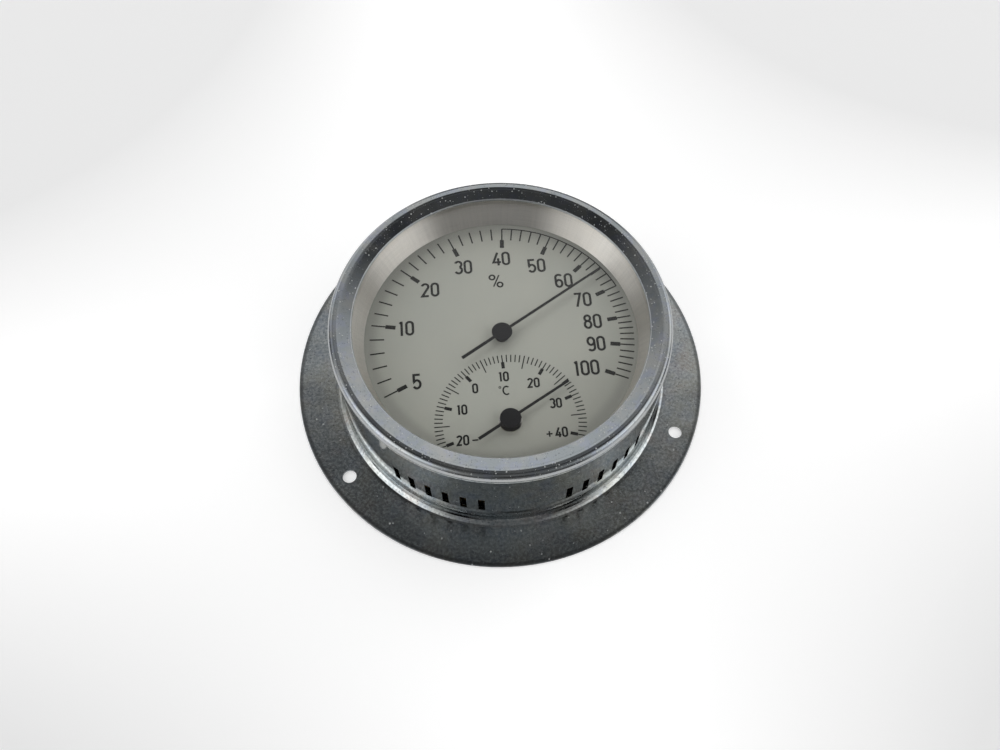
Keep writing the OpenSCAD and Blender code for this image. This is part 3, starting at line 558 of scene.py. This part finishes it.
centred = put(
    strand_tree,
    "ShaderNodeVectorMath",
    {0: stir.outputs["Color"], 1: (0.5, 0.5, 0.5)},
    operation="SUBTRACT",
)
amount = put(
    strand_tree,
    "ShaderNodeVectorMath",
    {0: centred.outputs[0], "Scale": given["Wander"]},
    operation="SCALE",
)
moved = put(
    strand_tree,
    "GeometryNodeSetPosition",
    {"Geometry": real.outputs[0], "Offset": amount.outputs[0]},
)
ring = put(
    strand_tree,
    "GeometryNodeCurvePrimitiveCircle",
    {"Resolution": 6, "Radius": given["Strand radius"]},
)
tubes = put(
    strand_tree,
    "GeometryNodeCurveToMesh",
    {"Curve": moved.outputs[0], "Profile Curve": ring.outputs[0], "Fill Caps": True},
)


def end_tree(tree, shape, finish, result):
    """Ends a tree: real geometry with its material."""
    whole = put(tree, "GeometryNodeRealizeInstances", {"Geometry": shape})
    painted = put(
        tree,
        "GeometryNodeSetMaterial",
        {"Geometry": whole.outputs[0], "Material": finish},
    )
    tree.links.new(painted.outputs[0], result["Geometry"])


end_tree(strand_tree, tubes.outputs[0], given["Finish"], result)
built(
    hair_strands,
    strand_tree,
    Length=(last - first).length,
    Strand_radius=strand_r,
    Wander=wander,
    Turn=(0.0, 0.0, math.atan2(lengthwise.y, lengthwise.x)),
    Finish=straw,
)
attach(hair_strands, "case")
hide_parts("hair_bundle")

# Dial plate
# An aluminium disc with a smooth matt grey-green enamel, very slightly uneven, with
# a few specks of dust, and painted shade that darkens it towards its lower right and at its edge, where
# the ring shades it.
darker_way = (0.45, -0.9, 0)
darker_from, darker_beyond = 10 * MM, 45 * MM
edge_r = 40.5 * MM
enamel, tree, skin = new_finish("dial_enamel", seen(166, 168, 158), 0.55)
spot = put(tree, "ShaderNodeTexCoord").outputs["Object"]
uneven = effect(tree, clouds, spot, Scale=38, Detail=3, Low=0.3, High=0.7)
fleck = effect(tree, clouds, spot, Scale=1800, Detail=2, Low=0.35, High=0.7)
dust = effect(tree, grains, spot, Scale=420, Share=0.02, Size=0.16)
# Painted shade: the enamel darkens towards the lower right, where the ring shades the dial
painted_shade_low_right = put(tree, "ShaderNodeVectorMath", {0: spot, 1: darker_way}, operation="DOT_PRODUCT")
painted_shade_low_right = ramp(tree, painted_shade_low_right.outputs["Value"], darker_from, darker_beyond)
# Painted shade: a darker band along the dial's edge, under the ring
painted_edge_shade = effect(tree, band, spot, Low=edge_r, Soft=3.5 * MM)
colour = tint(tree, uneven, seen(163, 165, 156), seen(168, 169, 159))
colour = over(tree, colour, seen(184, 186, 178), fleck, 0.12)
colour = over(tree, colour, seen(120, 118, 108), dust, 0.35)
colour = over(tree, colour, seen(112, 113, 106), painted_shade_low_right, 0.3)
colour = over(tree, colour, seen(112, 114, 108), painted_edge_shade, 0.4)
feed(tree, skin, Base_Color=colour, Roughness=add_up(tree, 0.5, (fleck, 0.1)))
relief(tree, skin, fleck, 0.008 * MM)
dress("dial_plate", enamel)

# Printed graduations
# Black ink printed on the enamel: thin lines and short blocks of the humidity scale
# with the bracket from 40 to 70, and the finer lines of the thermometer scale.
dial_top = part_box("dial_plate")[1].z
dial_tilt = math.radians(-3)
print_offset = Vector((0.25, -0.17, 0))
ink_low = dial_top - 0.02 * MM
ink_high = dial_top + 0.03 * MM

# Angle of each numbered mark, anticlockwise from the right
humidity_marks = {
    5: 205.4,
    10: 169.36,
    20: 138.13,
    30: 110.93,
    40: 85.52,
    50: 62.65,
    60: 41.61,
    70: 22.5,
    80: 5.89,
    90: -8.96,
    100: -25.7,
}
temperature_marks = {-20: 197.03, -10: 161.93, 0: 126.79, 10: 92.01, 20: 56.1, 30: 19.85, 40: -16.63}


def mark_angle(value, marks):
    """Angle of a value on a scale, from the angles of its numbered marks."""
    keys = sorted(marks)
    i = max(k for k in range(len(keys) - 1) if keys[k] <= value + 1e-6)
    low, high = keys[i], keys[i + 1]
    share = (value - low) / (high - low)
    return marks[low] + (marks[high] - marks[low]) * share


def ink_finish(name, red, green, blue):
    """Printing ink: slightly glossy, with a faintly mottled density."""
    ink, tree, skin = new_finish(name, seen(red, green, blue), 0.45)
    skin.inputs["Specular IOR Level"].default_value = 0.25
    spot = put(tree, "ShaderNodeTexCoord").outputs["Object"]
    thin = effect(tree, clouds, spot, Scale=2400, Detail=3, Low=0.35, High=0.75)
    colour = tint(tree, thin, seen(red, green, blue), seen(red + 12, green + 12, blue + 10))
    feed(tree, skin, Base_Color=colour, Roughness=add_up(tree, 0.4, (thin, 0.15)))
    relief(tree, skin, thin, 0.004 * MM)
    return ink


def named(tree, name):
    """A number that each point of the mesh carries."""
    made = put(tree, "GeometryNodeInputNamedAttribute", {"Name": name}, data_type="FLOAT")
    return made.outputs[0]


mark_tree, given, result = shape_tree(
    "printed_marks", {"Film": ink_high - ink_low}, {"Finish": "NodeSocketMaterial"}
)
mark = put(mark_tree, "GeometryNodeMeshCube", {"Size": (1.0, 1.0, 1.0)})
turn = put(mark_tree, "ShaderNodeCombineXYZ", {2: named(mark_tree, "turn")})
size = put(
    mark_tree,
    "ShaderNodeCombineXYZ",
    {0: named(mark_tree, "reach"), 1: named(mark_tree, "breadth"), 2: given["Film"]},
)
copies = put(
    mark_tree,
    "GeometryNodeInstanceOnPoints",
    {
        "Points": given["Geometry"],
        "Instance": mark.outputs[0],
        "Rotation": turn.outputs[0],
        "Scale": size.outputs[0],
    },
)
end_tree(mark_tree, copies.outputs[0], given["Finish"], result)


def on_print(x, y, z):
    """A point of the print, from millimetres on the dial to its place in the frame."""
    turned = Matrix.Rotation(dial_tilt, 3, "Z") @ Vector((x, y, 0)) + print_offset
    return (turned.x * MM, turned.y * MM, z)


def print_marks(name, marks, centre, finish):
    """Prints radial marks (angle, inner radius, outer radius, width in mm) round a centre."""
    mesh = bpy.data.meshes.new(name)
    spots, turns, reaches, widths = [], [], [], []
    for angle, inner, outer, width in marks:
        a = math.radians(angle)
        middle = (inner + outer) / 2
        x = centre[0] + middle * math.cos(a)
        y = centre[1] + middle * math.sin(a)
        spots.append(on_print(x, y, (ink_low + ink_high) / 2))
        turns.append(a + dial_tilt)
        reaches.append((outer - inner) * MM)
        widths.append(width * MM)
    mesh.from_pydata(spots, [], [])
    for key, column in (("turn", turns), ("reach", reaches), ("breadth", widths)):
        mesh.attributes.new(key, "FLOAT", "POINT").data.foreach_set("value", column)
    piece = bpy.data.objects.new(name, mesh)
    scene.collection.objects.link(piece)
    built(piece, mark_tree, Film=ink_high - ink_low, Finish=finish)
    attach(piece, "case")


scale_ink = ink_finish("scale_ink", 12, 12, 10)
small_ink = ink_finish("small_scale_ink", 9, 9, 9)

block_in, line_in, line_out = 33.3, 36.4, 40.8
line_width, block_width = 0.46, 1.32
bracket_in, bracket_out, bracket_steps = 40.6, 41.0, 120
marks = []
for percent in [5, 6, 7, 8, 9, *range(10, 101, 2)]:
    marks.append((mark_angle(percent, humidity_marks), line_in, line_out, line_width))
for angle in humidity_marks.values():
    marks.append((angle, block_in, line_in, block_width))
for i in range(bracket_steps):
    share = (i + 0.5) / bracket_steps
    angle = humidity_marks[40] + (humidity_marks[70] - humidity_marks[40]) * share
    marks.append((angle, bracket_in, bracket_out, 0.4))
print_marks("humidity_scale", marks, (0, 0), scale_ink)

thermometer_centre = (-0.2, -28.82)
short_in, long_in, small_out = 20.0, 17.95, 22.5
small_block_in, small_block_out = 17.9, 20.1
small_line, small_block = 0.34, 1.0
marks = []
for degrees in range(-20, 41):
    angle = mark_angle(degrees, temperature_marks)
    if degrees % 10 == 0:
        marks.append((angle, small_block_out, small_out, small_line))
        marks.append((angle, small_block_in, small_block_out, small_block))
    else:
        marks.append((angle, short_in if degrees % 5 else long_in, small_out, small_line))
print_marks("thermometer_scale", marks, thermometer_centre, small_ink)


# Printed figures
# Plain upright figures in one weight of line with square ends, printed with the
# graduations, and the signs for per cent, degrees, plus and minus.
figure_w, figure_h = 2.0, 4.5


def bow(cx, cy, rx, ry, start, stop, count=18):
    """Points along an elliptic arc."""
    points = []
    for i in range(count + 1):
        a = math.radians(start + (stop - start) * i / count)
        points.append((cx + rx * math.cos(a), cy + ry * math.sin(a)))
    return points


def strokes_of(figure):
    """The pen strokes of a figure in its box, as (points, closed)."""
    w, h = figure_w, figure_h
    if figure == "0":
        return [(bow(1, h - 1, 1, 1, 0, 180)[:-1] + bow(1, 1, 1, 1, 180, 360)[:-1], True)]
    if figure == "1":
        return [([(0.38, h - 0.45), (0.98, h)], False), ([(1, h + 0.3), (1, -0.3)], False)]
    if figure == "2":
        return [(bow(1, h - 1, 1, 1, 165, -25) + [(0, 0), (w, 0)], False)]
    if figure == "3":
        return [
            (bow(1, h - 1.1, 1, 1.1, 155, -70), False),
            (bow(1, 1.2, 1.05, 1.2, 70, -155), False),
        ]
    if figure == "4":
        return [
            ([(1.45, h + 0.2), (-0.05, 0.95), (2.35, 0.95)], False),
            ([(1.55, 2.5), (1.55, -0.3)], False),
        ]
    if figure == "5":
        return [([(1.95, h), (0.1, h), (0.1, 2.35)] + bow(0.95, 1.3, 1.05, 1.35, 140, -150), False)]
    if figure == "6":
        return [
            (bow(1, h - 1, 1, 1, 30, 180) + [(0, 1.25)], False),
            (bow(1, 1.25, 1, 1.3, 0, 360)[:-1], True),
        ]
    if figure == "7":
        return [([(0, h), (1.95, h), (0.65, -0.3)], False)]
    if figure == "8":
        return [
            (bow(1, h - 1, 0.88, 1, 0, 360)[:-1], True),
            (bow(1, 1.25, 1, 1.25, 0, 360)[:-1], True),
        ]
    return [([(w - x, h - y) for x, y in points], closed) for points, closed in strokes_of("6")]


def lay_stroke(mesh, points, width, closed):
    """Lays one stroke of ink as a thin closed film with mitred corners."""
    count = len(points)
    rows = []
    for i in range(count):
        here = Vector(points[i])
        before = Vector(points[i - 1]) if closed or i else None
        after = Vector(points[(i + 1) % count]) if closed or i < count - 1 else None
        ways = []
        if before is not None:
            ways.append((here - before).normalized())
        if after is not None:
            ways.append((after - here).normalized())
        sides = [Vector((-d.y, d.x)) for d in ways]
        mean = sum(sides, Vector((0, 0))).normalized()
        offset = mean * (width / 2 / max(0.35, mean.dot(sides[0])))
        rows.append([here + offset, here - offset])
    rings = []
    for left_side, right_side in rows:
        ring = []
        for z, pair in ((ink_high, (left_side, right_side)), (ink_low, (right_side, left_side))):
            for p in pair:
                ring.append(mesh.verts.new(on_print(p.x, p.y, z)))
        rings.append(ring)
    pairs = list(zip(rings, rings[1:] + rings[:1])) if closed else list(zip(rings, rings[1:]))
    for one, two in pairs:
        for k in range(4):
            mesh.faces.new((one[k], one[(k + 1) % 4], two[(k + 1) % 4], two[k]))
    if not closed:
        mesh.faces.new(rings[0][::-1])
        mesh.faces.new(rings[-1])


def print_strokes(name, strokes, finish):
    """Prints a set of strokes (points in mm on the dial, width, closed) as one piece."""
    mesh = bmesh.new()
    for points, width, closed in strokes:
        lay_stroke(mesh, points, width, closed)
    bmesh.ops.recalc_face_normals(mesh, faces=mesh.faces)
    data = bpy.data.meshes.new(name)
    mesh.to_mesh(data)
    mesh.free()
    data.materials.append(finish)
    piece = bpy.data.objects.new(name, data)
    scene.collection.objects.link(piece)
    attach(piece, "case")


def number(figures, centre, scale, pitch, width):
    """Strokes of a number, centred on a point of the dial. Figures after a 1 stand closer."""
    found = []
    total = pitch * (len(figures) - 1) + figure_w * scale
    closer = 0.19 * pitch if figures[0] == "1" else 0.0
    for i, figure in enumerate(figures):
        x0 = centre[0] - total / 2 + i * pitch - (closer if i else 0.0)
        y0 = centre[1] - figure_h / 2 * scale
        for points, closed in strokes_of(figure):
            found.append(([(x0 + x * scale, y0 + y * scale) for x, y in points], width, closed))
    return found


# Middle of each number, in millimetres from the humidity pointer's axis
humidity_figures = {
    "5": (-27.03, -13.04),
    "10": (-29.35, 5.63),
    "20": (-21.42, 19.06),
    "30": (-10.45, 26.75),
    "40": (1.95, 29.04),
    "50": (13.1, 25.46),
    "60": (21.15, 19.06),
    "70": (26.26, 11.43),
    "80": (28.41, 3.18),
    "90": (28.47, -4.86),
    "100": (24.53, -12.93),
}
large = {"scale": 1.0, "pitch": 3.03, "width": 0.76}
strokes = []
for figures, centre in humidity_figures.items():
    strokes += number(figures, centre, **large)
sign_x, sign_y = -0.41, 20.65
ring_r, ring_line, bar_line = 0.85, 0.56, 0.46
for x, y in ((sign_x - 1.15, sign_y + 1.43), (sign_x + 1.18, sign_y - 1.45)):
    strokes.append((bow(x, y, ring_r, ring_r, 0, 360)[:-1], ring_line, True))
strokes.append(([(sign_x + 1.1, sign_y + 2.18), (sign_x - 0.9, sign_y - 2.08)], bar_line, False))
print_strokes("humidity_figures", strokes, scale_ink)

temperature_figures = [
    ("10", (-0.91, -13.7)),
    ("0", (-9.84, -16.9)),
    ("10", (-14.15, -23.6)),
    ("20", (-14.65, -33.44)),
    ("20", (7.78, -16.56)),
    ("30", (13.69, -23.9)),
    ("40", (14.35, -33.44)),
]
small = {"scale": 0.622, "pitch": 1.95, "width": 0.58}
strokes = []
for figures, centre in temperature_figures:
    strokes += number(figures, centre, **small)
minus = [(-11.9, -33.68), (-10.1, -33.68)]
plus_bar = [(9.84, -33.74), (11.64, -33.74)]
plus_post = [(10.74, -34.64), (10.74, -32.84)]
for points in (minus, plus_bar, plus_post):
    strokes.append((points, 0.44, False))
letter_c = bow(-0.53, -18.41, 1.02, 1.35, 50, 310)
strokes.append((letter_c, 0.48, False))
degree_ring = bow(-2.44, -17.26, 0.3, 0.3, 0, 360, 14)[:-1]
strokes.append((degree_ring, 0.2, True))
print_strokes("thermometer_figures", strokes, small_ink)

# Conical ring
# Spun aluminium between dial and window, brushed round its axis, so that light
# runs over it in fans.
brushed, tree, skin = new_finish("brushed_ring", seen(214, 211, 205), 0.3, 1.0)
spot = put(tree, "ShaderNodeTexCoord").outputs["Object"]
axes = put(tree, "ShaderNodeSeparateXYZ", {0: spot}).outputs
radius = off_axis(tree, spot)
angle = calc(tree, "ARCTAN2", axes[1], axes[0])
round_run = calc(tree, "MULTIPLY", angle, 0.0004)
brush_spot = put(tree, "ShaderNodeCombineXYZ", {0: round_run, 1: radius, 2: axes[2]})
brush_noise = {"Vector": brush_spot.outputs[0], "Scale": 9000.0, "Detail": 4.0}
lines = put(tree, "ShaderNodeTexNoise", brush_noise).outputs[0]
fan_run = calc(tree, "MULTIPLY", angle, 0.045)
fan_rise = calc(tree, "MULTIPLY", radius, 0.1)
fan_spot = put(tree, "ShaderNodeCombineXYZ", {0: fan_run, 1: fan_rise}).outputs[0]
fans = effect(tree, clouds, fan_spot, Scale=900, Detail=3, Low=0.3, High=0.7)
cloudy = effect(tree, clouds, spot, Scale=70, Detail=3, Low=0.35, High=0.65)
colour = tint(tree, lines, seen(190, 187, 181), seen(230, 227, 221))
colour = over(tree, colour, seen(236, 232, 224), fans, 0.3)
colour = over(tree, colour, seen(206, 200, 188), cloudy, 0.2)
skin.inputs["Anisotropic"].default_value = 0.8
skin.inputs["Anisotropic Rotation"].default_value = 0.25
direction = put(tree, "ShaderNodeTangent", direction_type="RADIAL", axis="Z").outputs[0]
feed(tree, skin, Base_Color=colour, Roughness=add_up(tree, 0.24, (lines, 0.16)), Tangent=direction)
relief(tree, skin, lines, 0.006 * MM)
dress("dial_ring", brushed)


# Pointers, bosses and hub caps
# Stamped blades and turned bosses in matt black lacquer, and turned caps in a satin
# blue-black, pressed on the arbors.
def lacquer(name, colour, worn, low, high):
    """Thin lacquer on metal, with a fine grain and rubbed spots, dull from low to high."""
    paint, tree, skin = new_finish(name, colour, low)
    skin.inputs["Specular IOR Level"].default_value = 0.22
    spot = put(tree, "ShaderNodeTexCoord").outputs["Object"]
    grain = effect(tree, clouds, spot, Scale=2600, Detail=3, Low=0.35, High=0.7)
    rubbed = effect(tree, clouds, spot, Scale=260, Detail=4, Low=0.5, High=0.75)
    dull = add_up(tree, low, (grain, high - low))
    feed(tree, skin, Base_Color=over(tree, colour, worn, rubbed, 0.6), Roughness=dull)
    relief(tree, skin, grain, 0.004 * MM)
    return paint


blade_black = lacquer("blade_black", seen(12, 12, 12), seen(26, 25, 24), 0.42, 0.6)
cap_black = lacquer("cap_blueblack", seen(9, 9, 13), seen(24, 24, 30), 0.3, 0.44)
for name in ("hygro_pointer", "hygro_boss", "thermo_pointer", "thermo_boss"):
    dress(name, blade_black)
for name in ("hygro_cap", "thermo_cap"):
    dress(name, cap_black)

# Window
# A disc of clear float glass with ground edges, resting on the ring and held down by
# the bezel through a rubber ring.
window, tree, skin = new_finish("window_glass", (1, 1, 1, 1), 0.0)
skin.inputs["IOR"].default_value = 1.45
skin.inputs["Transmission Weight"].default_value = 1.0
rays = put(tree, "ShaderNodeLightPath").outputs
hidden = calc(tree, "MAXIMUM", rays["Is Shadow Ray"], rays["Is Diffuse Ray"])
outside = calc(tree, "SUBTRACT", 1.0, rays["Is Transmission Ray"])
hidden = calc(tree, "MAXIMUM", hidden, calc(tree, "MULTIPLY", rays["Is Glossy Ray"], outside))
feed(tree, skin, Alpha=calc(tree, "SUBTRACT", 1.0, hidden))
dress("window_glass", window)

# Gasket
# A flat ring cut from black rubber sheet, between the bezel's lip and the glass,
# with a faint grey bloom.
rubber, tree, skin = new_finish("black_rubber", seen(38, 38, 38), 0.7)
spot = put(tree, "ShaderNodeTexCoord").outputs["Object"]
bloom = effect(tree, clouds, spot, Scale=600, Detail=3, Low=0.35, High=0.7)
colour = tint(tree, bloom, seen(32, 32, 32), seen(52, 51, 50))
feed(tree, skin, Base_Color=colour, Roughness=add_up(tree, 0.62, (bloom, 0.15)))
relief(tree, skin, bloom, 0.01 * MM)
dress("gasket", rubber)

# Bezel
# Spun steel ring with a rolled edge, pressed into the case over glass and gasket. Its
# plating is pale, with fine dark pits, white corrosion grains and rubbed streaks; the rolled edge is
# lighter, partly rubbed and partly a painted highlight, and a painted highlight runs round the lip.
rolled_edge_r = 51.2 * MM
lip_r = 44.8 * MM
crest_in_r, crest_mid_r = 47.9 * MM, 48.8 * MM
bezel_zinc, tree, skin = new_finish("bezel_zinc", seen(155, 159, 162), 0.25, 1.0)
spot = put(tree, "ShaderNodeTexCoord").outputs["Object"]
patches = effect(tree, clouds, spot, Scale=120, Detail=3, Low=0.38, High=0.66)
haze = effect(tree, clouds, spot, Scale=300, Detail=4, Low=0.46, High=0.64)
pits = effect(tree, grains, spot, Scale=1900, Share=0.4, Size=0.45)
oxide = effect(tree, grains, spot, Scale=1250, Share=0.36, Size=0.36)
edge_wear_and_highlight = effect(tree, band, spot, Low=rolled_edge_r, Soft=0.3 * MM)
# Painted highlight: the lip is lightened into a thin bright line round the opening
lip_highlight = effect(tree, band, spot, High=lip_r, Soft=0.2 * MM)
# The rolled edge is lightened, partly as rubbed wear and partly as a painted highlight; with the lip's
# painted highlight it forms one lighter mask
rubbed = calc(tree, "MAXIMUM", calc(tree, "MULTIPLY", edge_wear_and_highlight, 0.5), calc(tree, "MULTIPLY", lip_highlight, 0.35))
colour = tint(tree, patches, seen(149, 155, 158), seen(164, 166, 165))
colour = over(tree, colour, seen(150, 156, 178), haze, 0.35)
colour = over(tree, colour, seen(70, 72, 78), pits, 0.65)
colour = over(tree, colour, seen(196, 197, 195), oxide)
colour = over(tree, colour, seen(220, 222, 222), rubbed)
dull = add_up(tree, 0.13, (patches, 0.04), (pits, 0.22), (oxide, 0.45), (edge_wear_and_highlight, -0.05), (lip_highlight, 0.25))
feed(tree, skin, Base_Color=colour, Roughness=dull, Metallic=add_up(tree, 1.0, (oxide, -0.8)))
height = add_up(tree, calc(tree, "SUBTRACT", 0.0, pits), (oxide, 0.5))
swells = put(tree, "ShaderNodeTexNoise", {"Vector": spot, "Scale": 60.0, "Detail": 1.5}).outputs[0]
# The crest rises by a hair from its inner side, so that it leans a little inwards there
lean = ramp(tree, off_axis(tree, spot), crest_in_r, crest_mid_r, way="LINEAR")
relief(tree, skin, height, 0.01 * MM, add_up(tree, swells, (lean, 1.26)), 0.12 * MM)
dress("bezel", bezel_zinc)
